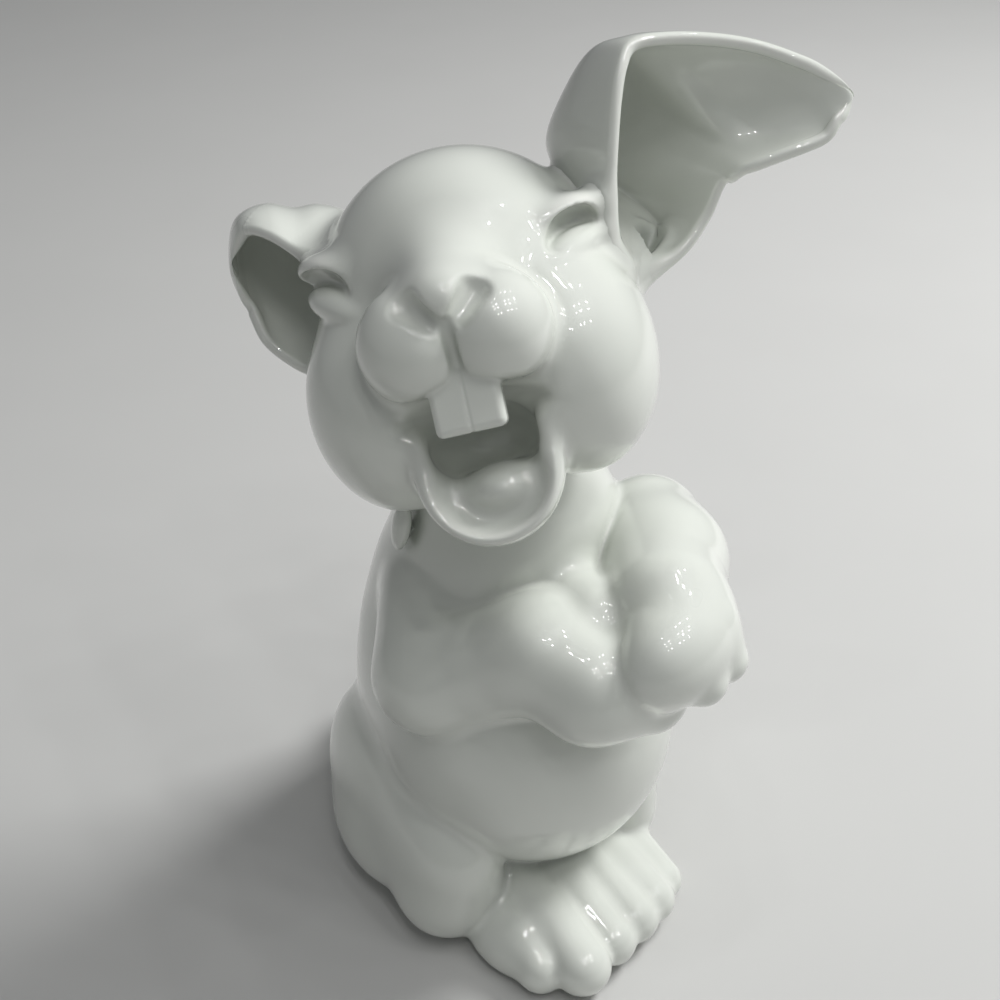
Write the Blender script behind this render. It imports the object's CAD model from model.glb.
"""A sitting, laughing rabbit figurine in glazed ceramic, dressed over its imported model."""
import math

import bpy
import numpy as np
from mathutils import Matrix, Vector


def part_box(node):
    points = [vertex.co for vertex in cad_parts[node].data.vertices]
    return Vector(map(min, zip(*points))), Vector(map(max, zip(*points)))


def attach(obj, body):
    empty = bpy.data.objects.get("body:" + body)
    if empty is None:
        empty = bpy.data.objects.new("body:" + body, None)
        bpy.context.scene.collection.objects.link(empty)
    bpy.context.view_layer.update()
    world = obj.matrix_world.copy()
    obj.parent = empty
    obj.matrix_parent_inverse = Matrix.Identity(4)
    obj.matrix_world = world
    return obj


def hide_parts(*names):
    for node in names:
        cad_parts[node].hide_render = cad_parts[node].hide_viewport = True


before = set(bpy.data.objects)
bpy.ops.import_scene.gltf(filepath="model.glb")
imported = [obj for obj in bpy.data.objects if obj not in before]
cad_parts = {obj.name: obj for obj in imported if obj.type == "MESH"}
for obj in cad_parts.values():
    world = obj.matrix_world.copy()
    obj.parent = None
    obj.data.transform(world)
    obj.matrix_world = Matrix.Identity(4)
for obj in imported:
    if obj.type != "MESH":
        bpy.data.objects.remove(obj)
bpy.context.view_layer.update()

bl_info = {
    "name": "Ceramic rabbit figurine",
    "version": (1, 0, 0),
    "blender": (4, 5, 0),
    "location": "View3D > Sidebar > Rabbit",
    "description": "Glazed skin, ears, clay base and studio for a sitting rabbit figurine",
    "category": "Add Mesh",
}

BODY = "root"
MM = 0.001
TINY = 1e-9

# Head: it looks up and over the right shoulder, and leans to the right
HEAD_CENTRE = np.array((-1.0, -4.5, 172.5))
HEAD_BEARING, HEAD_LIFT, HEAD_LEAN = -40.0, 33.0, 17.0

# Body masses in millimetres. An ellipsoid is its centre, half axes and, where it is turned, angles
# in degrees. A taper is its two ends, each with a radius. A reach is how far masses run together
BELLY = ((6.0, -17.0, 58.5), (41.0, 44.0, 46.0))
RUMP = ((4.0, 6.0, 36.0), (34.0, 37.0, 46.0))
BACK = ((2.0, 3.0, 74.0), (31.0, 30.0, 45.0))
CHEST = ((9.0, -6.5, 104.0), (32.5, 29.5, 34.0))
NECK = ((7.0, -4.0, 122.0), 24.0, (2.0, -4.0, 150.0), 22.0)
BREAST = ((9.0, -45.0, 106.5), (12.0, 13.0, 11.0))
NECK_TUFT = ((-23.5, -6.0, 124.0), (2.2, 3.2, 7.0), (0.0, 12.0, 0.0))
TAIL = ((4.0, 43.0, 20.0), (12.0, 11.0, 13.0))
BODY_REACH, NECK_REACH, BREAST_REACH, TUFT_REACH = 12.0, 10.0, 8.0, 2.0

# Hind legs: thigh, low thigh, knee and heel
RIGHT_HAUNCH = (
    ((-22.5, 0.0, 28.0), (20.0, 31.0, 32.5)),
    ((-27.0, -4.0, 14.0), (17.0, 24.0, 15.0)),
    ((-25.5, -26.0, 25.5), (15.5, 20.0, 22.0)),
    ((-26.0, -31.0, 13.0), (15.0, 14.0, 13.0)),
)
LEFT_HAUNCH = (
    ((27.5, 0.0, 29.0), (20.0, 31.0, 32.5)),
    ((31.0, -2.0, 14.0), (17.0, 24.0, 15.0)),
    ((29.0, -24.0, 25.5), (15.5, 20.0, 22.0)),
    ((29.0, -29.0, 13.0), (14.0, 14.0, 13.0)),
)
THIGH_REACH, HEEL_REACH = 8.0, 6.0

# Feet: the instep, then each toe from knuckle to tip
RIGHT_INSTEP = ((-11.0, -47.0, 6.0), (17.0, 20.0, 11.5))
RIGHT_TOES = (
    ((-16.0, -42.0, 10.0), 8.0, (-16.5, -62.5, 6.5), 7.2),
    ((-8.0, -38.0, 14.0), 8.5, (-7.5, -69.0, 8.0), 8.2),
    ((2.5, -40.0, 13.0), 8.0, (4.5, -66.0, 7.5), 7.2),
)
LEFT_INSTEP = ((17.0, -44.0, 6.0), (14.0, 19.0, 11.0))
LEFT_TOES = (
    ((11.0, -40.0, 13.0), 7.4, (14.0, -63.5, 8.0), 7.2),
    ((19.0, -39.0, 12.5), 7.2, (22.0, -61.0, 8.0), 6.8),
    ((27.0, -37.0, 10.5), 7.0, (29.0, -56.5, 7.0), 6.0),
)
TOE_REACH = 2.2

# Forelegs: lengths of limb, then the paw and its toes
LEFT_FORELEG = (
    ((41.0, -24.0, 108.5), 15.0, (35.5, -37.5, 109.0), 16.0),
    ((35.5, -37.5, 109.0), 16.0, (24.5, -54.0, 112.5), 15.0),
)
LEFT_PAW = ((19.0, -66.0, 109.0), (19.0, 12.5, 14.0), (0.0, 0.0, 20.0))
LEFT_PAW_TOES = (
    ((11.0, -58.0, 110.0), 4.5, (5.0, -62.5, 104.0), 5.8),
    ((13.0, -63.5, 114.0), 6.0, (11.5, -69.5, 102.5), 6.4),
    ((20.5, -67.5, 114.0), 6.0, (21.0, -73.0, 102.5), 6.4),
    ((28.0, -67.0, 113.0), 6.0, (29.5, -70.5, 103.5), 6.2),
)
RIGHT_FORELEG = (
    ((-13.0, -8.0, 98.0), 17.0, (-24.5, -21.0, 86.0), 15.5),
    ((-23.0, -23.0, 88.0), 15.0, (-6.0, -43.0, 101.5), 14.5),
    ((-6.0, -43.0, 101.5), 14.5, (0.5, -57.0, 98.5), 14.0),
    ((0.5, -57.0, 98.5), 14.0, (13.0, -63.0, 94.0), 10.0),
)
LIMB_REACH, PAW_TOE_REACH = 5.0, 2.0

# Head masses in the frame of the head: x to its left, y to its back, z to its crown
SKULL = ((0.0, 4.0, 11.0), (34.0, 37.0, 33.0))
LEFT_CHEEK = ((21.0, -5.0, -11.0), (21.0, 28.0, 28.0))
RIGHT_CHEEK = ((-21.0, -5.0, -13.0), (20.5, 27.0, 26.0))
FACE = ((0.0, -14.0, -18.0), (25.0, 20.0, 20.0))
ROUND_MASSES = (SKULL, LEFT_CHEEK, RIGHT_CHEEK, FACE)
BRIDGE = ((0.0, -32.0, 7.0), (11.0, 15.0, 10.0), (20.0, 0.0, 0.0))
BROW = ((28.0, -15.2, 19.4), (9.5, 6.2, 4.2), (0.0, -14.0, 50.0))
EYE_SOCKET = ((29.2, -19.8, 14.2), (9.6, 4.4, 5.2), (0.0, -22.0, 52.0))
EYELID = ((26.8, -17.4, 10.6), (11.5, 5.4, 4.0), (0.0, -24.0, 52.0))
PUFF = ((8.8, -35.5, -4.0), (12.8, 13.0, 13.2))
NOSE = ((0.0, -42.0, 3.0), (8.5, 8.0, 7.0))
NOSTRIL = ((7.6, -47.4, 3.6), 3.0, (2.8, -48.4, -1.6), 2.0)
LIP_GROOVE = ((0.0, -47.3, -2.5), 1.1, (0.0, -42.2, -12.5), 1.1)
GUM = ((0.0, -34.0, -17.0), (10.0, 6.5, 5.0))
JAW = ((0.0, -25.0, -32.5), (16.8, 23.0, 18.0))
JAW_RIM_Y, JAW_RIM_Z, JAW_RIM_SLOPE = -33.0, -50.0, 0.16
MOUTH = (
    ((0.0, -39.0, -35.0), (15.3, 17.0, 14.1)),
    ((0.0, -24.0, -27.0), (12.5, 18.0, 10.0)),
    ((0.0, -32.0, -20.0), (16.0, 11.0, 4.5)),
)
TONGUE = ((1.5, -19.0, -38.0), (9.0, 11.0, 6.0))
TOOTH_CENTRE, TOOTH_HALF, TOOTH_ROUNDING = (3.5, -38.5, -18.0), (4.3, 3.0, 7.0), 1.7

# How far each feature of the head runs into the mass that it is added to or cut from
HEAD_REACH, JAW_REACH, TOOTH_REACH, TONGUE_REACH, EAR_ROOT_REACH = 8.0, 3.0, 1.0, 5.0, 7.0
BRIDGE_REACH, BROW_REACH, SOCKET_REACH, EYELID_REACH = 9.0, 4.0, 1.2, 1.4
PUFF_REACH, NOSE_REACH, MUZZLE_REACH, NOSTRIL_REACH = 3.0, 4.0, 3.5, 2.0
GROOVE_REACH, GUM_REACH, MOUTH_REACH, ROOF_REACH = 1.6, 3.0, 3.0, 4.0
MOUTH_EDGE, LIP_SOFTENING, LIP_FROM_Z, LIP_SPAN = 1.6, 3.6, -36.0, 14.0

# Ears: rows from root to tip, front rim, valley and far rim, set out from the head's centre
LEFT_EAR_ROWS = (
    ((20.0, -14.0, 15.0), (30.0, -2.0, 6.5), (31.5, -12.0, 9.0)),
    ((30.0, -16.0, 15.5), (42.5, -6.0, 8.5), (42.0, -14.5, 11.0)),
    ((27.0, -17.0, 23.5), (50.5, 4.5, 14.0), (50.0, -15.0, 14.5)),
    ((27.5, -15.0, 32.5), (47.0, 17.0, 19.0), (57.0, -14.0, 21.0)),
    ((29.5, -12.0, 42.5), (43.0, 25.5, 26.5), (60.0, -14.5, 28.5)),
    ((32.5, -8.5, 52.5), (49.5, 25.0, 37.5), (61.0, -17.0, 30.5)),
    ((36.0, -5.5, 59.0), (55.0, 19.0, 45.0), (62.5, -19.0, 33.0)),
    ((40.5, -3.5, 62.0), (58.5, 4.5, 47.0), (65.0, -21.0, 34.5)),
    ((48.0, -5.0, 62.5), (65.5, -3.0, 47.0), (69.5, -23.5, 36.5)),
    ((58.5, -8.5, 61.5), (72.5, -10.0, 47.5), (74.5, -26.0, 38.5)),
    ((68.0, -13.0, 59.5), (78.5, -16.0, 48.5), (79.5, -27.5, 40.5)),
    ((77.0, -18.5, 56.0), (83.0, -21.5, 49.0), (83.2, -27.4, 44.2)),
    ((86.3, -24.4, 51.4), (88.3, -26.6, 48.8), (88.2, -27.9, 46.4)),
)
# Clay that fills the raised ear's root, from the head's side to the cup's floor, in the frame of
# the whole
LEFT_EAR_ROOT = ((33.0, -13.0, 182.0), 7.5, (46.5, -9.0, 184.0), 5.0)
RIGHT_EAR_ROWS = (
    ((-18.0, 19.0, 12.0), (-7.0, 38.0, 5.0), (-21.0, 15.0, -10.0)),
    ((-21.5, 23.0, 14.0), (-7.5, 51.0, 6.0), (-26.0, 17.5, -12.5)),
    ((-27.0, 26.0, 15.5), (-12.0, 57.5, 6.5), (-30.0, 24.5, -14.5)),
    ((-30.5, 29.5, 16.5), (-18.5, 59.5, 6.0), (-33.5, 30.0, -13.5)),
    ((-33.5, 37.0, 18.0), (-25.5, 62.0, 7.5), (-37.0, 38.0, -10.0)),
    ((-36.0, 44.5, 17.0), (-32.5, 60.5, 7.5), (-37.5, 45.5, -4.0)),
    ((-39.0, 49.5, 12.0), (-38.0, 55.5, 6.0), (-40.5, 49.0, 2.0)),
)

# The ears' fillet on the head, and how many rows before the tip an ear starts to narrow and to
# be offset straight
EAR_FILLET, EAR_TIP_ROWS, EAR_STRAIGHT_ROWS = 7.0, 0.85, 1.8

# Base disc and its vent hole
DISC_CENTRE, DISC_HALF = (4.0, 6.0), (17.0, 18.0)
DISC_GAP, DISC_RECESS = 0.6, 0.8
VENT_RADIUS, VENT_DEPTH = 5.0, 14.0

# Studio: floor and camera in millimetres, lamps in metres, power in watts
FLOOR_HALF = 3000.0
CAMERA_TARGET, CAMERA_DISTANCE = (-1.2, -16.9, 130.1), 360.0
CAMERA_AZIMUTH, CAMERA_ELEVATION = -32.0, 36.0
CAMERA_LENS, CAMERA_SENSOR, CAMERA_CLIP = 51.98, 36.0, 10.0
KEY_LAMP = ((0.82, -0.08, 0.90), (0.0, 0.0, 0.11), (0.4, 0.4), 11.5, False)
FILL_LAMP = ((-0.2, -1.1, 0.8), (0.0, 0.0, 0.11), (0.9, 0.9), 0.5, False)
CEILING_LAMPS = tuple(
    (x, y, 1.3) for x in (-0.30, -0.14, 0.20, 0.36, 0.62) for y in (-0.85, -0.55, -0.40, -0.05)
)
CEILING_SIZE, CEILING_POWER = (0.034, 0.034), 0.3
WORLD_COLOUR, WORLD_STRENGTH = (0.95, 0.97, 1.0), 0.17

# Which pieces meet, so that each is blended with its own neighbours only
NEIGHBOURS = {
    "torso": ("head", "left_foreleg", "right_foreleg", "left_haunch", "right_haunch",
              "left_foot", "right_foot", "tail"),
    "left_foreleg": ("torso", "right_foreleg", "head"),
    "right_foreleg": ("torso", "left_foreleg"),
    "left_haunch": ("torso", "left_foot", "tail"),
    "right_haunch": ("torso", "right_foot", "tail"),
    "left_foot": ("torso", "left_haunch", "right_foot"),
    "right_foot": ("torso", "right_haunch", "left_foot"),
    "tail": ("torso", "left_haunch", "right_haunch"),
}


class RabbitSizes(bpy.types.PropertyGroup):
    """Sizes of the glazed skin."""
    skin_step: bpy.props.FloatProperty(
        name="Skin step", description="Spacing of the skin's vertices on the body",
        default=1.1 * MM, min=0.5 * MM, unit="LENGTH")
    face_step: bpy.props.FloatProperty(
        name="Face step", description="Spacing of the skin's vertices on the head",
        default=0.8 * MM, min=0.4 * MM, unit="LENGTH")
    fillet: bpy.props.FloatProperty(
        name="Fillet", description="Reach of the rounded joint between two luted pieces",
        default=2.6 * MM, min=0.5 * MM, unit="LENGTH")
    detail_step: bpy.props.FloatProperty(
        name="Detail step", description="Spacing of the skin's vertices on jaw, tongue and teeth",
        default=0.5 * MM, min=0.3 * MM, unit="LENGTH")
    foot_edge: bpy.props.FloatProperty(
        name="Foot edge", description="Rounding where the glaze ends on the flat base",
        default=1.6 * MM, min=0.2 * MM, unit="LENGTH")
    ear_wall: bpy.props.FloatProperty(
        name="Ear wall", description="Thickness of the ears",
        default=3.0 * MM, min=1.0 * MM, unit="LENGTH")


class RabbitColours(bpy.types.PropertyGroup):
    """Colours of the glaze, the clay and the studio."""
    glaze: bpy.props.FloatVectorProperty(
        name="Glaze", description="Off-white of the glaze where it lies thin",
        subtype="COLOR", size=3, default=(0.73, 0.755, 0.70), min=0, max=1)
    pooled: bpy.props.FloatVectorProperty(
        name="Pooled glaze", description="Glaze where it has run thick into a crease",
        subtype="COLOR", size=3, default=(0.43, 0.46, 0.41), min=0, max=1)
    thin: bpy.props.FloatVectorProperty(
        name="Thin glaze", description="Glaze over ridges and rims",
        subtype="COLOR", size=3, default=(0.80, 0.80, 0.76), min=0, max=1)
    clay: bpy.props.FloatVectorProperty(
        name="Bare clay", description="Unglazed clay of the base disc",
        subtype="COLOR", size=3, default=(0.62, 0.57, 0.49), min=0, max=1)
    floor: bpy.props.FloatVectorProperty(
        name="Floor", description="Pale floor of the studio",
        subtype="COLOR", size=3, default=(0.60, 0.60, 0.585), min=0, max=1)


def sizes():
    """The sizes that the user can set."""
    return bpy.context.scene.rabbit_sizes


def colours():
    """The colours that the user can set."""
    return bpy.context.scene.rabbit_colours


def rotation(turn):
    """The matrix of a turn in degrees about X, then Y, then Z."""
    x, y, z = np.radians(turn)
    about_x = np.array(((1, 0, 0), (0, math.cos(x), -math.sin(x)), (0, math.sin(x), math.cos(x))))
    about_y = np.array(((math.cos(y), 0, math.sin(y)), (0, 1, 0), (-math.sin(y), 0, math.cos(y))))
    about_z = np.array(((math.cos(z), -math.sin(z), 0), (math.sin(z), math.cos(z), 0), (0, 0, 1)))
    return about_z @ about_y @ about_x


def head_axes():
    """The head's left, back and crown directions, as the columns of a matrix."""
    bearing, lift, lean = np.radians((HEAD_BEARING, HEAD_LIFT, HEAD_LEAN))
    forward = np.array((
        math.sin(bearing) * math.cos(lift),
        -math.cos(bearing) * math.cos(lift),
        math.sin(lift),
    ))
    level = np.array((math.cos(bearing), math.sin(bearing), 0))
    up = np.cross(forward, level)
    left = level * math.cos(lean) + up * math.sin(lean)
    crown = up * math.cos(lean) - level * math.sin(lean)
    return np.stack((left, -forward, crown), 1)


HEAD_AXES = head_axes()


def ellipsoid(points, centre, half_axes, turn=(0.0, 0.0, 0.0)):
    """Near distance to an ellipsoid: with k0 the length of the point divided by the half axes
    and k1 its length divided by their squares, it is k0 (k0 - 1) / k1."""
    local = (points - np.array(centre)) @ rotation(turn)
    radii = np.array(half_axes)
    k0 = np.sqrt(((local / radii) ** 2).sum(1))
    k1 = np.sqrt(((local / radii ** 2) ** 2).sum(1)) + TINY
    return k0 * (k0 - 1) / k1


def taper(points, start, start_radius, end, end_radius):
    """Distance to a round-ended taper: to the cone between the two tangent circles, or to the
    sphere at the nearer end."""
    axis = np.array(end) - np.array(start)
    span = axis @ axis
    fall = start_radius - end_radius
    slant = span - fall * fall
    offset = points - np.array(start)
    along = offset @ axis
    beyond = along - span
    across = ((offset * span - along[:, None] * axis) ** 2).sum(1)
    split = math.copysign(1, fall) * fall * fall * across
    cone = (np.sqrt(across * slant / span) + along * fall) / span - start_radius
    far_ball = np.sqrt(across + beyond * beyond * span) / span - end_radius
    near_ball = np.sqrt(across + along * along * span) / span - start_radius
    past_end = np.sign(beyond) * slant * beyond * beyond * span > split
    before_start = np.sign(along) * slant * along * along * span < split
    return np.where(past_end, far_ball, np.where(before_start, near_ball, cone))


def blend(a, b, reach):
    """Smooth union: the lower of the two, less reach/4 times the square of how near they are."""
    near = np.maximum(reach - np.abs(a - b), 0) / reach
    return np.minimum(a, b) - near * near * reach / 4


def carve(a, b, reach):
    """Smooth cut of b out of a."""
    return -blend(-a, b, reach)


def blended(fields, reach):
    """Smooth union of several fields, in order."""
    total = fields[0]
    for field in fields[1:]:
        total = blend(total, field, reach)
    return total


def torso_field(points):
    """Belly, rump, back, chest, neck and breast run softly into each other. Under the jaw hangs
    a small tuft."""
    field = blended([ellipsoid(points, *mass) for mass in (BELLY, RUMP, BACK, CHEST)], BODY_REACH)
    field = blend(field, taper(points, *NECK), NECK_REACH)
    field = blend(field, ellipsoid(points, *BREAST), BREAST_REACH)
    return blend(field, ellipsoid(points, *NECK_TUFT), TUFT_REACH)


def haunch_field(points, masses):
    """Thigh, low thigh, knee and heel."""
    *thigh, heel = [ellipsoid(points, *mass) for mass in masses]
    return blend(blended(thigh, THIGH_REACH), heel, HEEL_REACH)


def foot_field(points, instep, toes):
    """The instep with a groove between each two toes."""
    toe_fields = [taper(points, *toe) for toe in toes]
    return blended([ellipsoid(points, *instep)] + toe_fields, TOE_REACH)


def left_foreleg_field(points):
    """Shoulder to wrist, then the broad paw with four short toes."""
    field = blended([taper(points, *limb) for limb in LEFT_FORELEG], LIMB_REACH)
    field = blend(field, ellipsoid(points, *LEFT_PAW), LIMB_REACH)
    return blended([field] + [taper(points, *toe) for toe in LEFT_PAW_TOES], PAW_TOE_REACH)


def right_foreleg_field(points):
    """Upper arm, then the forearm bent across the chest."""
    return blended([taper(points, *limb) for limb in RIGHT_FORELEG], LIMB_REACH)


BODY_FIELDS = {
    "torso": torso_field,
    "left_foreleg": left_foreleg_field,
    "right_foreleg": right_foreleg_field,
    "left_haunch": lambda points: haunch_field(points, LEFT_HAUNCH),
    "right_haunch": lambda points: haunch_field(points, RIGHT_HAUNCH),
    "left_foot": lambda points: foot_field(points, LEFT_INSTEP, LEFT_TOES),
    "right_foot": lambda points: foot_field(points, RIGHT_INSTEP, RIGHT_TOES),
    "tail": lambda points: ellipsoid(points, *TAIL),
}


def in_head(points):
    """Points in the frame of the head, and the same folded onto its left side."""
    local = (points - HEAD_CENTRE) @ HEAD_AXES
    folded = local.copy()
    folded[:, 0] = np.abs(folded[:, 0])
    return local, folded


def round_head(local):
    """Skull, cheeks and face without any features: what the neck and the ears meet."""
    return blended([ellipsoid(local, *mass) for mass in ROUND_MASSES], HEAD_REACH)


def upper_head(local, folded):
    """The head down to the upper lip: brows, eye hollows with their lids, muzzle and nose."""
    field = blend(round_head(local), ellipsoid(local, *BRIDGE), BRIDGE_REACH)
    field = blend(field, ellipsoid(folded, *BROW), BROW_REACH)
    field = carve(field, ellipsoid(folded, *EYE_SOCKET), SOCKET_REACH)
    field = blend(field, ellipsoid(folded, *EYELID), EYELID_REACH)
    mirrored_puff = ellipsoid(local * np.array((-1, 1, 1)), *PUFF)
    muzzle = blend(ellipsoid(local, *PUFF), mirrored_puff, PUFF_REACH)
    muzzle = blend(muzzle, ellipsoid(local, *NOSE), NOSE_REACH)
    field = blend(field, muzzle, MUZZLE_REACH)
    field = carve(field, taper(folded, *NOSTRIL), NOSTRIL_REACH)
    field = carve(field, taper(local, *LIP_GROOVE), GROOVE_REACH)
    return blend(field, ellipsoid(local, *GUM), GUM_REACH)


def jaw_field(local):
    """The lower jaw, cut off in front where its rim shows."""
    front = JAW_RIM_SLOPE * (local[:, 2] - JAW_RIM_Z) - (local[:, 1] - JAW_RIM_Y)
    return carve(ellipsoid(local, *JAW), -front, JAW_REACH)


def mouth_field(local):
    """The hollow of the open mouth."""
    front, throat, roof = (ellipsoid(local, *hollow) for hollow in MOUTH)
    return blend(blend(front, throat, MOUTH_REACH), roof, ROOF_REACH)


def teeth_field(folded):
    """Two front teeth side by side: distance to a rounded box."""
    outside = np.abs(folded - np.array(TOOTH_CENTRE)) - (np.array(TOOTH_HALF) - TOOTH_ROUNDING)
    reach = np.linalg.norm(np.maximum(outside, 0), axis=1)
    return reach + np.minimum(outside.max(1), 0) - TOOTH_ROUNDING


def head_fields(points):
    """Fields of the head's own pieces and of the whole head. The mouth is cut out of the whole
    and of the two that end in _cut, with an edge that grows softer towards the upper lip."""
    local, folded = in_head(points)
    ear_root = taper(points, *LEFT_EAR_ROOT)
    upper, jaw = blend(upper_head(local, folded), ear_root, EAR_ROOT_REACH), jaw_field(local)
    mouth, teeth = mouth_field(local), teeth_field(folded)
    tongue = ellipsoid(local, *TONGUE)
    soft = MOUTH_EDGE + LIP_SOFTENING * np.clip((local[:, 2] - LIP_FROM_Z) / LIP_SPAN, 0, 1)
    whole = carve(blend(upper, jaw, JAW_REACH), mouth, soft)
    whole = blend(blend(whole, teeth, TOOTH_REACH), tongue, TONGUE_REACH)
    return {
        "upper": upper, "jaw": jaw, "teeth": teeth, "tongue": tongue, "whole": whole,
        "upper_cut": carve(upper, mouth, soft), "jaw_cut": carve(jaw, mouth, soft),
    }


def spline(knots, share):
    """Catmull-Rom curve through the knots, at shares of its length from 0 to 1."""
    knots = np.array(knots)
    last = len(knots) - 1
    place = np.clip(share, 0, 1) * last
    index = np.minimum(place.astype(int), last - 1)
    part = (place - index)[:, None]
    padded = np.vstack((2 * knots[0] - knots[1], knots, 2 * knots[-1] - knots[-2]))
    a, b, c, d = (padded[index + step] for step in range(4))
    return 0.5 * (2 * b + (c - a) * part + (2 * a - 5 * b + 4 * c - d) * part ** 2
                  + (3 * b - a - 3 * c + d) * part ** 3)


def ear_sheet(rows, length_shares, angles):
    """Middle surface of an ear's wall: each section is the half ellipse that runs from the front
    rim through the valley to the far rim, middle - across cos(angle) + depth sin(angle). The
    sections shrink to the tip by a quarter circle."""
    front, valley, back = (
        HEAD_CENTRE + spline([row[place] for row in rows], length_shares) for place in range(3)
    )
    middle, across = (front + back) / 2, (back - front) / 2
    section = (np.sin(angles)[:, None] * (valley - middle)[:, None]
               - np.cos(angles)[:, None] * across[:, None])
    return middle[:, None] + tip_share(rows, length_shares)[:, None, None] * section


def tip_share(rows, length_shares):
    """Size of the sections as a share of what the rows say: a quarter circle at the tip."""
    left = np.clip((1 - length_shares) * (len(rows) - 1) / EAR_TIP_ROWS, 0, 1)
    return np.sqrt(1 - (1 - left) ** 2)


def unit(vectors):
    """The vectors at length one."""
    return vectors / (np.linalg.norm(vectors, axis=-1, keepdims=True) + TINY)


def ear_samples(rows, count=(120, 64), reach=20.0):
    """Points of an ear's middle surface with their directions along and across it, kept where
    they come near the head. A rim point has no direction across, so that distance to it is
    round."""
    sheet = ear_sheet(rows, np.linspace(0, 1, count[0]), np.linspace(0, math.pi, count[1]))
    along = unit(np.gradient(sheet, axis=0))
    across = np.gradient(sheet, axis=1)
    across = unit(across - (across * along).sum(-1, keepdims=True) * along)
    across[:, 0] = across[:, -1] = 0
    near = np.abs(round_head(in_head(sheet.reshape(-1, 3))[0])) < reach
    return tuple(grid.reshape(-1, 3)[near] for grid in (sheet, along, across))


def ear_distance(points, samples, wall, reach=9.0, batch=8000, spacing=1.2):
    """Distance to an ear's wall: to the nearest sample, without the part of it, up to the
    samples' spacing, that lies along the surface. Points beyond the reach get the reach."""
    sheet, along, across = samples
    distance = np.full(len(points), reach)
    low, high = sheet.min(0) - reach, sheet.max(0) + reach
    near = np.flatnonzero(((points > low) & (points < high)).all(1))
    for start in range(0, len(near), batch):
        index = near[start:start + batch]
        here = points[index]
        best = ((sheet ** 2).sum(1) - 2 * here @ sheet.T).argmin(1)
        offset = here - sheet[best]
        left = (offset ** 2).sum(1)
        for side in (along, across):
            left -= np.minimum((offset * side[best]).sum(1) ** 2, spacing ** 2)
        distance[index] = np.minimum(np.sqrt(np.maximum(left, 0)) - wall / 2, reach)
    return distance


def cell(union, own, rival, dip=4.0):
    """A piece's closed skin: the union's own surface where the piece is nearer than its rivals,
    and from there it dips under them by the square of how much farther it is, over dip."""
    return union + np.maximum(own - rival, 0) ** 2 / dip


def on_floor(field, points):
    """The flat base at z = 0 with a rounded edge, a shallow seat for the base disc, and the well
    behind the vent hole."""
    edge = sizes().foot_edge / MM
    half = np.array(DISC_HALF) + DISC_GAP
    share = np.sqrt((((points[:, :2] - np.array(DISC_CENTRE)) / half) ** 2).sum(1))
    seat = np.clip((1 - share) * half.mean() / DISC_GAP + 1, 0, 1) * DISC_RECESS
    field = carve(field, points[:, 2] - seat, edge)
    low = (*DISC_CENTRE, -VENT_RADIUS)
    high = (*DISC_CENTRE, VENT_DEPTH)
    return carve(field, taper(points, low, VENT_RADIUS, high, VENT_RADIUS), DISC_GAP)


def head_mass(points):
    """What the torso meets of the head: its round masses and the jaw."""
    local, _ = in_head(points)
    return blend(round_head(local), jaw_field(local), JAW_REACH)


def body_skin(name):
    """The union round one piece of the body, and that piece's own closed skin, as two functions
    of points."""
    def fields(points):
        made = {}
        if "head" in NEIGHBOURS[name]:
            made["head"] = head_mass(points)
        for other, field in BODY_FIELDS.items():
            if other == name or other in NEIGHBOURS[name]:
                made[other] = field(points)
        return made

    def union_of(made, points):
        return on_floor(blended(list(made.values()), sizes().fillet / MM), points)

    def union(points):
        return union_of(fields(points), points)

    def skin(points):
        made = fields(points)
        rival = np.minimum.reduce([made[other] for other in made if other != name])
        return cell(union_of(made, points), made[name], rival)

    return union, skin


def head_skin(name):
    """The same two functions for a piece of the head: upper, jaw, teeth, tongue or ear."""
    wall = sizes().ear_wall / MM
    ears = [ear_samples(rows) for rows in (LEFT_EAR_ROWS, RIGHT_EAR_ROWS)]

    def fields(points):
        made = head_fields(points)
        made["torso"] = torso_field(points)
        made["ears"] = np.minimum.reduce([ear_distance(points, ear, wall) for ear in ears])
        union = blend(made["whole"], made["torso"], sizes().fillet / MM)
        made["union"] = blend(union, made["ears"], EAR_FILLET)
        return made

    def union(points):
        return fields(points)["union"]

    def skin(points):
        made = fields(points)
        outside = np.minimum(made["torso"], made["ears"])
        if name == "ear":
            return cell(made["union"], made["ears"], np.minimum(made["whole"], made["torso"]))
        if name == "upper":
            behind = made["upper"] - np.minimum(made["jaw"], outside)
            inside = made["upper_cut"] - np.minimum(made["teeth"], made["tongue"])
        elif name == "jaw":
            behind = made["jaw"] - np.minimum(made["upper"], outside)
            inside = made["jaw_cut"] - np.minimum(made["teeth"], made["tongue"])
        else:
            other = "tongue" if name == "teeth" else "teeth"
            behind = made[name] - np.minimum(made["upper_cut"], made["jaw_cut"])
            inside = made[name] - made[other]
        return cell(made["union"], np.maximum(behind, inside), 0)

    return union, skin


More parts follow.
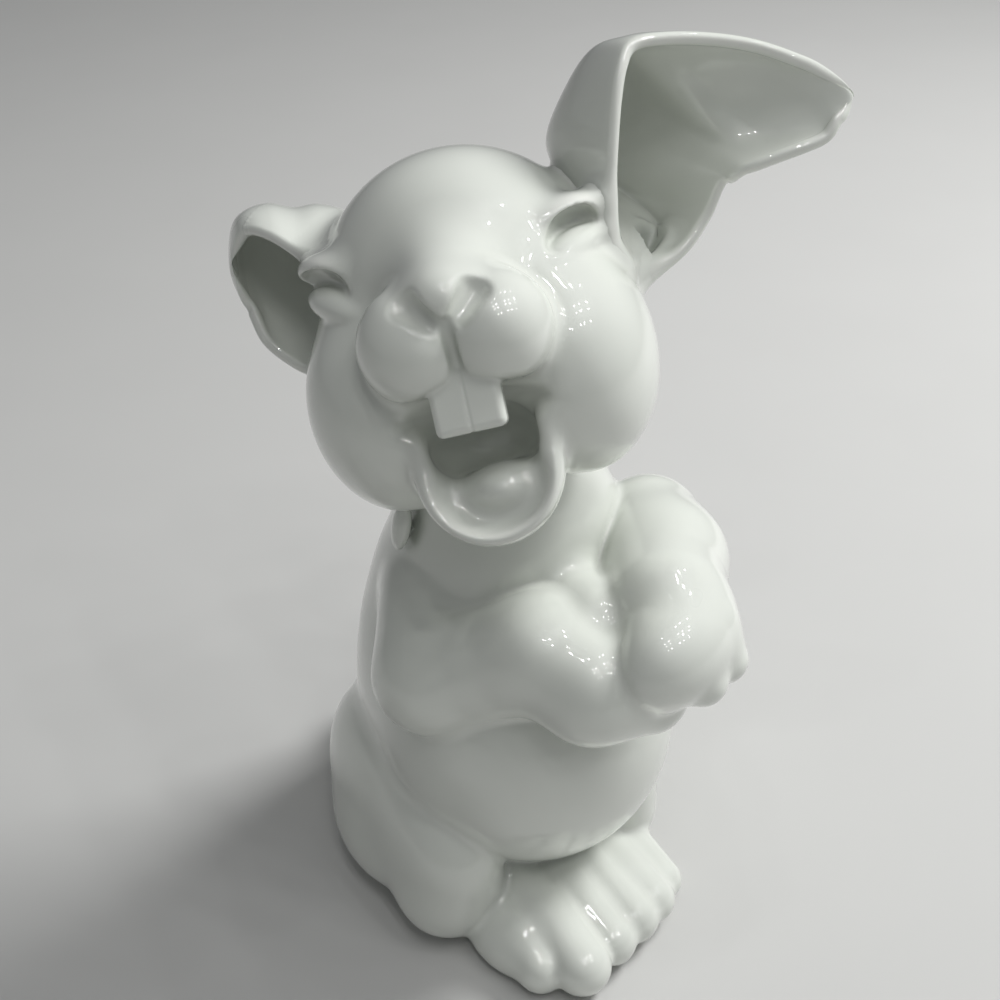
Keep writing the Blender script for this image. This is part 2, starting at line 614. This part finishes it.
def sampled(low, high, step, field, place):
    """The field on a grid: first every fourth point, then all points of the blocks that the
    surface may pass through."""
    coarse, spare = 4, 1.2
    blocks = np.ceil((np.array(high) - np.array(low)) / (coarse * step)).astype(int)
    lines = [low[axis] + coarse * step * np.arange(blocks[axis] + 1) for axis in range(3)]
    corners = np.stack(np.meshgrid(*lines, indexing="ij"), -1)
    rough = field(place(corners.reshape(-1, 3))).reshape(corners.shape[:3])
    around = [
        rough[x:x + blocks[0], y:y + blocks[1], z:z + blocks[2]]
        for x in (0, 1) for y in (0, 1) for z in (0, 1)
    ]
    margin = coarse * step * spare
    live = (np.minimum.reduce(around) < margin) & (np.maximum.reduce(around) > -margin)
    live = np.kron(live, np.ones((coarse,) * 3, bool)).astype(bool)
    fine = blocks * coarse
    wanted = np.zeros(fine + 1, bool)
    for x in (0, 1):
        for y in (0, 1):
            for z in (0, 1):
                wanted[x:x + fine[0], y:y + fine[1], z:z + fine[2]] |= live
    nearest = [np.arange(fine[axis] + 1) // coarse for axis in range(3)]
    values = rough[np.ix_(*nearest)]
    index = np.argwhere(wanted)
    values[wanted] = field(place(np.array(low) + step * index))
    return values


def surface_net(values):
    """The zero surface of a grid of values, as points in grid steps and quads: one point in each
    cell that it crosses, at the mean of its crossings of the cell's edges, and one quad round
    each grid edge that it crosses."""
    inside = values < 0
    shape = np.array(values.shape) - 1
    corners = [
        inside[x:x + shape[0], y:y + shape[1], z:z + shape[2]]
        for x in (0, 1) for y in (0, 1) for z in (0, 1)
    ]
    crossed = np.logical_or.reduce(corners) & ~np.logical_and.reduce(corners)
    cells = np.argwhere(crossed)
    total = np.zeros((len(cells), 3))
    count = np.zeros((len(cells), 1))
    quads = []
    number = np.full(crossed.shape, -1)
    number[crossed] = np.arange(len(cells))
    for axis in range(3):
        step = np.eye(3, dtype=int)[axis]
        side_a, side_b = np.eye(3, dtype=int)[[(axis + 1) % 3, (axis + 2) % 3]]
        for a in (0, 1):
            for b in (0, 1):
                start = cells + a * side_a + b * side_b
                v0 = values[tuple(start.T)]
                v1 = values[tuple((start + step).T)]
                cuts = (v0 < 0) != (v1 < 0)
                share = np.where(cuts, v0 / np.where(cuts, v0 - v1, 1), 0)[:, None]
                total += np.where(cuts[:, None], start + share * step, 0)
                count += cuts[:, None]
        low = side_a + side_b
        high = np.array(values.shape) - 1
        span = tuple(slice(low[i], high[i]) for i in range(3))
        ahead = tuple(slice(low[i] + step[i], high[i] + step[i]) for i in range(3))
        edges = np.argwhere(inside[span] != inside[ahead]) + low
        ring = [edges, edges - side_a, edges - side_a - side_b, edges - side_b]
        quad = np.stack([number[tuple(place.T)] for place in ring], 1)
        flip = ~inside[tuple(edges.T)]
        quad[flip] = quad[flip][:, ::-1]
        quads.append(quad)
    return total / count, np.vstack(quads)


def gradient(field, points, step=0.05):
    """Slope of a field by central differences."""
    return np.stack([
        (field(points + step * side) - field(points - step * side)) / (2 * step)
        for side in np.eye(3)
    ], 1)


def settled(field, points, limit, rounds=3):
    """Points moved onto the field's zero by Newton's rule, each time by no more than the limit."""
    for _ in range(rounds):
        slope = gradient(field, points)
        move = -field(points)[:, None] * slope / ((slope ** 2).sum(1)[:, None] + TINY)
        length = np.linalg.norm(move, axis=1, keepdims=True) + TINY
        points = points + move * np.minimum(1, limit / length)
    return points


def crevice(field, points, normals, reach=3.0):
    """How far into a crease a point lies: the share by which the field falls short of the reach
    at the end of a normal that long."""
    return np.clip((reach - field(points + reach * normals)) / reach, 0, 1)


def ridge(field, points, normals, reach=2.5):
    """How sharp an edge a point lies on: the same measure taken inwards."""
    return np.clip((reach + field(points - reach * normals)) / reach, 0, 1)


def outward(points, faces):
    """The faces, all turned round if the volume that they enclose comes out negative."""
    a = points[faces[:, 0]]
    volume = sum(
        (a * np.cross(points[faces[:, place]], points[faces[:, place + 1]])).sum()
        for place in range(1, faces.shape[1] - 1)
    )
    return faces if volume > 0 else faces[:, ::-1]


def mesh_piece(name, points, faces, normals=None, marks=None):
    """A smooth mesh object from points in millimetres, faces of one size, and if given its
    normals and its named values at each point."""
    faces = outward(points, faces)
    mesh = bpy.data.meshes.new(name)
    mesh.vertices.add(len(points))
    mesh.vertices.foreach_set("co", (points * MM).ravel())
    mesh.loops.add(faces.size)
    mesh.loops.foreach_set("vertex_index", faces.ravel())
    mesh.polygons.add(len(faces))
    mesh.polygons.foreach_set("loop_start", np.arange(len(faces)) * faces.shape[1])
    mesh.update(calc_edges=True)
    mesh.polygons.foreach_set("use_smooth", np.ones(len(faces), bool))
    for mark, values in (marks or {}).items():
        mesh.attributes.new(mark, "FLOAT", "POINT").data.foreach_set("value", values)
    if normals is not None:
        mesh.normals_split_custom_set_from_vertices(normals)
    piece = bpy.data.objects.new(name, mesh)
    bpy.context.scene.collection.objects.link(piece)
    return piece


def glazed(piece, *nodes):
    """The piece gets the glaze, rides on the one body and stands for its nodes."""
    piece.data.materials.append(glaze_material())
    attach(piece, BODY)
    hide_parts(*nodes)
    return piece


def skin_piece(name, node, low, high, step, functions, place=None, feel=0.2):
    """One closed skin, as the zero surface of its field: quads from a surface net, settled on the
    field, with normals from the union so that shading runs on across the joints."""
    union, skin = functions
    place = place or (lambda points: points)
    values = sampled(low, high, step, skin, place)
    points, faces = surface_net(values)
    points = settled(skin, place(np.array(low) + step * points), step / 2)
    normals = unit(gradient(union, points, feel))
    marks = {"crevice": crevice(union, points, normals), "ridge": ridge(union, points, normals)}
    return glazed(mesh_piece(name, points, faces, normals, marks), node)


def node_box(node, spare=3.0):
    """A CAD node's box in millimetres, a little larger all round."""
    low, high = (np.array(corner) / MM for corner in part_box(node))
    return low - spare, high + spare


def head_box(node, spare=3.0):
    """The box of a CAD node in the frame of the head."""
    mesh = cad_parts[node].data
    points = np.empty(3 * len(mesh.vertices))
    mesh.vertices.foreach_get("co", points)
    local = (points.reshape(-1, 3) / MM - HEAD_CENTRE) @ HEAD_AXES
    return local.min(0) - spare, local.max(0) + spare


def from_head(local):
    """Points of the head's frame in the frame of the whole."""
    return HEAD_CENTRE + local @ HEAD_AXES.T


def ear_piece(name, rows, *nodes, count=(180, 60, 9), root_share=0.014, step=0.002,
              sunk=0.02, feel=0.05, least_slope=0.5, farthest=6.0, rounds=8):
    """An ear: its half-ellipse sections are carried from root to tip along the splines of its
    rims and valley. Each section is a closed loop at half the wall's thickness from its middle
    line, round over each rim. It closes at the root by a quarter circle and at the tip in one
    point, where all of a section is offset square to the valley. Near the head the loop is
    pushed out onto the union's surface, which gives the ear its fillet."""
    length, sides, cap = count
    shares = np.sin(np.linspace(0, math.pi / 2, length))
    half_turn = np.linspace(0, math.pi, sides)
    rim_turn = np.linspace(0, math.pi, cap)[1:-1]
    angles = np.concatenate((half_turn, np.full(cap - 2, math.pi), half_turn[::-1],
                             np.zeros(cap - 2)))
    turns = np.concatenate((np.zeros(sides), rim_turn, np.full(sides, math.pi),
                            math.pi + rim_turn))
    middle = ear_sheet(rows, shares, angles)
    along = unit(ear_sheet(rows, shares + step, angles) - ear_sheet(rows, shares - step, angles))
    across = unit(ear_sheet(rows, shares, angles + step) - ear_sheet(rows, shares, angles - step))
    straight = np.clip(1 - (1 - shares) * (len(rows) - 1) / EAR_STRAIGHT_ROWS, 0, 1)[:, None, None]
    along = unit(along + straight * (along[:, sides // 2, None] - along))
    out = unit(np.cross(across, along))
    from_root = np.clip(shares / root_share, 0, 1)
    half_wall = sizes().ear_wall / MM / 2 * np.sqrt(1 - (1 - from_root) ** 2)
    half_wall *= tip_share(rows, shares)
    normals = unit(np.sin(turns)[:, None] * across - np.cos(turns)[:, None] * out)
    points = (middle + half_wall[:, None, None] * normals).reshape(-1, 3)
    normals = normals.reshape(-1, 3)

    union, skin = head_skin("ear")
    near = np.flatnonzero(union(points) < -sunk)
    moved = np.zeros(len(near))
    for _ in range(rounds):
        here = points[near] + moved[:, None] * normals[near]
        ahead, behind = skin(here + feel * normals[near]), skin(here - feel * normals[near])
        slope = np.maximum((ahead - behind) / (2 * feel), least_slope)
        moved = np.clip(moved - skin(here) / slope, 0, farthest)
    points[near] += moved[:, None] * normals[near]

    number = np.arange(len(points)).reshape(length, -1)
    number[-1] = number[-1, 0]
    number[0, sides:sides + cap - 2] = number[0, sides - 1]
    number[0, sides + cap - 2:2 * sides + cap - 2] = number[0, :sides][::-1]
    number[0, 2 * sides + cap - 2:] = number[0, 0]
    beside = np.roll(number, -1, 1)
    quads = np.stack((number[:-1], beside[:-1], beside[1:], number[1:]), -1).reshape(-1, 4)
    faces = np.vstack((quads[:, (0, 1, 2)], quads[:, (0, 2, 3)]))
    faces = faces[(faces != np.roll(faces, 1, 1)).all(1)]
    used, faces = np.unique(faces, return_inverse=True)
    rim = np.tile(np.sin(turns) ** 2, length)
    marks = {"crevice": crevice(union, points, normals)[used], "ridge": rim[used]}
    return glazed(mesh_piece(name, points[used], faces.reshape(-1, 3), None, marks), *nodes)


class Socket:
    """An output of a node that can be used in sums and products like a number."""

    def __init__(self, nodes, output):
        self.nodes, self.output = nodes, output

    def math(self, operation, first, second):
        """The result of an operation on two sockets or numbers."""
        return self.nodes.add("Math", {"operation": operation}, {0: first, 1: second})

    def __add__(self, other):
        return self.math("ADD", self, other)

    def __radd__(self, other):
        return self.math("ADD", other, self)

    def __sub__(self, other):
        return self.math("SUBTRACT", self, other)

    def __rsub__(self, other):
        return self.math("SUBTRACT", other, self)

    def __mul__(self, other):
        return self.math("MULTIPLY", self, other)

    def __rmul__(self, other):
        return self.math("MULTIPLY", other, self)


class Finish:
    """The nodes of one material."""

    def __init__(self, name):
        self.material = bpy.data.materials.new(name)
        self.material.use_nodes = True
        self.tree = self.material.node_tree
        self.tree.nodes.clear()

    def add(self, kind, settings=None, sockets=None, output=0):
        """A shader node of a kind, with its settings first, then values or links of its
        sockets. Returns one of its outputs."""
        node = self.tree.nodes.new("ShaderNode" + kind)
        for name, value in (settings or {}).items():
            setattr(node, name, value)
        for place, value in (sockets or {}).items():
            if isinstance(value, Socket):
                self.tree.links.new(value.output, node.inputs[place])
            else:
                node.inputs[place].default_value = value
        return Socket(self, node.outputs[output])

    def mix(self, share, first, second):
        """A colour between two others."""
        return self.add("Mix", {"data_type": "RGBA"}, {0: share, 6: first, 7: second}, 2)

    def surface(self, sockets):
        """The principled surface that ends the material."""
        shader = self.add("BsdfPrincipled", None, sockets)
        end = self.tree.nodes.new("ShaderNodeOutputMaterial")
        self.tree.links.new(shader.output, end.inputs["Surface"])
        return self.material


def rgba(colour):
    """A colour as the four numbers that a socket takes."""
    return (*colour, 1.0)


def glaze_material():
    """Off-white glaze: it has run thin over ridges and lies thick, greyer and greener, in the
    creases, with faint clouds and speckles. Its skin is smooth and wet, with soft waves."""
    name = "Off-white glaze"
    if name in bpy.data.materials:
        return bpy.data.materials[name]
    finish = Finish(name)
    place = finish.add("TexCoord", None, None, "Object")
    crease = finish.add("Attribute", {"attribute_name": "crevice"}, None, "Fac")
    edge = finish.add("Attribute", {"attribute_name": "ridge"}, None, "Fac")
    clouds = finish.add("TexNoise", None, {"Vector": place, "Scale": 38.0, "Detail": 3.0})
    speckle = finish.add("TexNoise", None, {"Vector": place, "Scale": 900.0, "Detail": 1.0})
    waves = finish.add("TexNoise", None, {"Vector": place, "Scale": 110.0, "Detail": 1.0})
    pool = crease * crease * 0.85 + (clouds - 0.5) * 0.35
    colour = finish.mix(pool, rgba(colours().glaze), rgba(colours().pooled))
    thin = edge * edge * 0.5 + (speckle - 0.5) * 0.12
    colour = finish.mix(thin, colour, rgba(colours().thin))
    bump = finish.add("Bump", None, {"Strength": 0.10, "Distance": 0.4 * MM, "Height": waves})
    return finish.surface({
        "Base Color": colour, "Roughness": 0.30 + (clouds - 0.5) * 0.12, "IOR": 1.5,
        "Coat Weight": 1.0, "Coat Roughness": 0.035, "Coat IOR": 1.55, "Normal": bump})


def clay_material():
    """Bare fired clay: matt and chalky, with a fine grain and soft cloudy patches."""
    finish = Finish("Bare clay")
    place = finish.add("TexCoord", None, None, "Object")
    clouds = finish.add("TexNoise", None, {"Vector": place, "Scale": 90.0, "Detail": 4.0})
    grain = finish.add("TexNoise", None, {"Vector": place, "Scale": 1800.0, "Detail": 2.0})
    dark = rgba(np.array(colours().clay) * 0.72)
    colour = finish.mix(clouds * 0.7 + grain * 0.3, dark, rgba(colours().clay))
    bump = finish.add("Bump", None, {"Strength": 0.35, "Distance": 0.2 * MM, "Height": grain})
    return finish.surface({
        "Base Color": colour, "Roughness": 0.82 + (grain - 0.5) * 0.2, "Normal": bump})


def floor_material():
    """A pale matt table top, with the faintest mottling."""
    finish = Finish("Pale table top")
    place = finish.add("TexCoord", None, None, "Object")
    clouds = finish.add("TexNoise", None, {"Vector": place, "Scale": 14.0, "Detail": 3.0})
    shade = rgba(np.array(colours().floor) * 0.96)
    colour = finish.mix(clouds, shade, rgba(colours().floor))
    return finish.surface({"Base Color": colour, "Roughness": 0.75})


def body_piece(name, label):
    """The glazed skin of one node of the body."""
    low, high = node_box(name)
    return skin_piece(label, name, low, high, sizes().skin_step / MM, body_skin(name))


def head_detail(name, node, label):
    """The glazed skin of a small node of the head, on a fine grid in the head's own frame."""
    low, high = head_box(node)
    step = sizes().detail_step / MM
    return skin_piece(label, node, low, high, step, head_skin(name), from_head)


class RABBIT_OT_torso(bpy.types.Operator):
    """Belly, rump, chest and neck"""
    bl_idname = "rabbit.torso"
    bl_label = "Torso"

    def execute(self, context):
        body_piece("torso", "Torso")
        return {"FINISHED"}


class RABBIT_OT_forelegs(bpy.types.Operator):
    """Both forelegs, the left one with its paw across the chest"""
    bl_idname = "rabbit.forelegs"
    bl_label = "Forelegs"

    def execute(self, context):
        body_piece("left_foreleg", "Left_foreleg")
        body_piece("right_foreleg", "Right_foreleg")
        return {"FINISHED"}


class RABBIT_OT_hind_legs(bpy.types.Operator):
    """Both haunches"""
    bl_idname = "rabbit.hind_legs"
    bl_label = "Haunches"

    def execute(self, context):
        body_piece("left_haunch", "Left_haunch")
        body_piece("right_haunch", "Right_haunch")
        return {"FINISHED"}


class RABBIT_OT_feet(bpy.types.Operator):
    """Both feet with their toes"""
    bl_idname = "rabbit.feet"
    bl_label = "Feet"

    def execute(self, context):
        body_piece("left_foot", "Left_foot")
        body_piece("right_foot", "Right_foot")
        return {"FINISHED"}


class RABBIT_OT_tail(bpy.types.Operator):
    """The short round tail"""
    bl_idname = "rabbit.tail"
    bl_label = "Tail"

    def execute(self, context):
        body_piece("tail", "Tail")
        return {"FINISHED"}


class RABBIT_OT_head(bpy.types.Operator):
    """Skull, cheeks, eyes, muzzle and nose"""
    bl_idname = "rabbit.head"
    bl_label = "Head"

    def execute(self, context):
        low, high = node_box("head")
        skin_piece("Head", "head", low, high, sizes().face_step / MM, head_skin("upper"))
        return {"FINISHED"}


class RABBIT_OT_mouth(bpy.types.Operator):
    """Lower jaw, tongue and front teeth"""
    bl_idname = "rabbit.mouth"
    bl_label = "Mouth"

    def execute(self, context):
        head_detail("jaw", "lower_jaw", "Lower_jaw")
        head_detail("tongue", "tongue", "Tongue")
        head_detail("teeth", "upper_incisors", "Front_teeth")
        return {"FINISHED"}


class RABBIT_OT_ears(bpy.types.Operator):
    """Both cupped ears"""
    bl_idname = "rabbit.ears"
    bl_label = "Ears"

    def execute(self, context):
        ear_piece("Left_ear", LEFT_EAR_ROWS, "left_ear", "left_ear_tip")
        ear_piece("Right_ear", RIGHT_EAR_ROWS, "right_ear")
        return {"FINISHED"}


class RABBIT_OT_base(bpy.types.Operator):
    """The finish of the bare clay disc under the rump"""
    bl_idname = "rabbit.base"
    bl_label = "Base disc"

    def execute(self, context):
        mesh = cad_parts["base_disc"].data
        mesh.materials.clear()
        mesh.materials.append(clay_material())
        return {"FINISHED"}


def area_light(name, place, target, size, power, mirrored=True):
    """A lamp of a width and height that faces the target. The glaze may mirror it or not."""
    light = bpy.data.lights.new(name, "AREA")
    light.shape, light.energy = "RECTANGLE", power
    light.size, light.size_y = size
    lamp = bpy.data.objects.new(name, light)
    lamp.visible_glossy = mirrored
    lamp.location = place
    lamp.rotation_euler = (Vector(target) - Vector(place)).to_track_quat("-Z", "Y").to_euler()
    bpy.context.scene.collection.objects.link(lamp)


def studio_world():
    """Even soft light, and a pale backdrop where the camera sees past the floor."""
    world = bpy.data.worlds.new("Studio")
    world.use_nodes = True
    nodes, links = world.node_tree.nodes, world.node_tree.links
    soft = nodes["Background"]
    soft.inputs["Color"].default_value = rgba(WORLD_COLOUR)
    soft.inputs["Strength"].default_value = WORLD_STRENGTH
    pale = nodes.new("ShaderNodeBackground")
    pale.inputs["Color"].default_value = rgba(colours().floor)
    path, mix = nodes.new("ShaderNodeLightPath"), nodes.new("ShaderNodeMixShader")
    links.new(path.outputs["Is Camera Ray"], mix.inputs[0])
    links.new(soft.outputs[0], mix.inputs[1])
    links.new(pale.outputs[0], mix.inputs[2])
    links.new(mix.outputs[0], nodes["World Output"].inputs["Surface"])
    bpy.context.scene.world = world


class RABBIT_OT_stage(bpy.types.Operator):
    """Floor, lamps, world and camera"""
    bl_idname = "rabbit.stage"
    bl_label = "Stage"

    def execute(self, context):
        half = FLOOR_HALF
        corners = np.array(((-half, -half, 0), (half, -half, 0), (half, half, 0),
                            (-half, half, 0)))
        floor = mesh_piece("Table_top", corners, np.array(((0, 1, 2, 3),)))
        floor.data.materials.append(floor_material())
        target = Vector(CAMERA_TARGET) * MM
        area_light("Window", *KEY_LAMP)
        area_light("Fill", *FILL_LAMP)
        for number, place in enumerate(CEILING_LAMPS):
            area_light(f"Ceiling lamp {number + 1}", place, target, CEILING_SIZE, CEILING_POWER)
        studio_world()
        camera_data = bpy.data.cameras.new("Camera")
        camera_data.lens, camera_data.sensor_width = CAMERA_LENS, CAMERA_SENSOR
        camera_data.clip_start = CAMERA_CLIP * MM
        camera = bpy.data.objects.new("Camera", camera_data)
        azimuth, elevation = np.radians((CAMERA_AZIMUTH, CAMERA_ELEVATION))
        back = Vector((
            math.sin(azimuth) * math.cos(elevation),
            -math.cos(azimuth) * math.cos(elevation),
            math.sin(elevation),
        ))
        camera.location = target + CAMERA_DISTANCE * MM * back
        camera.rotation_euler = back.to_track_quat("Z", "Y").to_euler()
        context.scene.collection.objects.link(camera)
        context.scene.camera = camera
        context.scene.view_settings.view_transform = "Standard"
        return {"FINISHED"}


PIECE_OPERATORS = (
    RABBIT_OT_torso, RABBIT_OT_forelegs, RABBIT_OT_hind_legs, RABBIT_OT_feet, RABBIT_OT_tail,
    RABBIT_OT_head, RABBIT_OT_mouth, RABBIT_OT_ears, RABBIT_OT_base, RABBIT_OT_stage,
)


class RABBIT_PT_figurine(bpy.types.Panel):
    """Every size, colour and piece of the figurine"""
    bl_idname = "RABBIT_PT_figurine"
    bl_label = "Rabbit figurine"
    bl_space_type = "VIEW_3D"
    bl_region_type = "UI"
    bl_category = "Rabbit"

    def draw(self, context):
        layout = self.layout
        for group in (context.scene.rabbit_sizes, context.scene.rabbit_colours):
            for name in group.__annotations__:
                layout.prop(group, name)
        for operator in PIECE_OPERATORS:
            layout.operator(operator.bl_idname)


CLASSES = (RabbitSizes, RabbitColours, *PIECE_OPERATORS, RABBIT_PT_figurine)


def register():
    """Adds the classes and the two groups of the scene."""
    for each in CLASSES:
        bpy.utils.register_class(each)
    bpy.types.Scene.rabbit_sizes = bpy.props.PointerProperty(type=RabbitSizes)
    bpy.types.Scene.rabbit_colours = bpy.props.PointerProperty(type=RabbitColours)


def unregister():
    """Takes them away again."""
    del bpy.types.Scene.rabbit_colours
    del bpy.types.Scene.rabbit_sizes
    for each in reversed(CLASSES):
        bpy.utils.unregister_class(each)


def main():
    """Makes every piece and the stage."""
    register()
    for operator in PIECE_OPERATORS:
        getattr(bpy.ops.rabbit, operator.bl_idname.split(".")[1])()


if __name__ == "__main__":
    main()
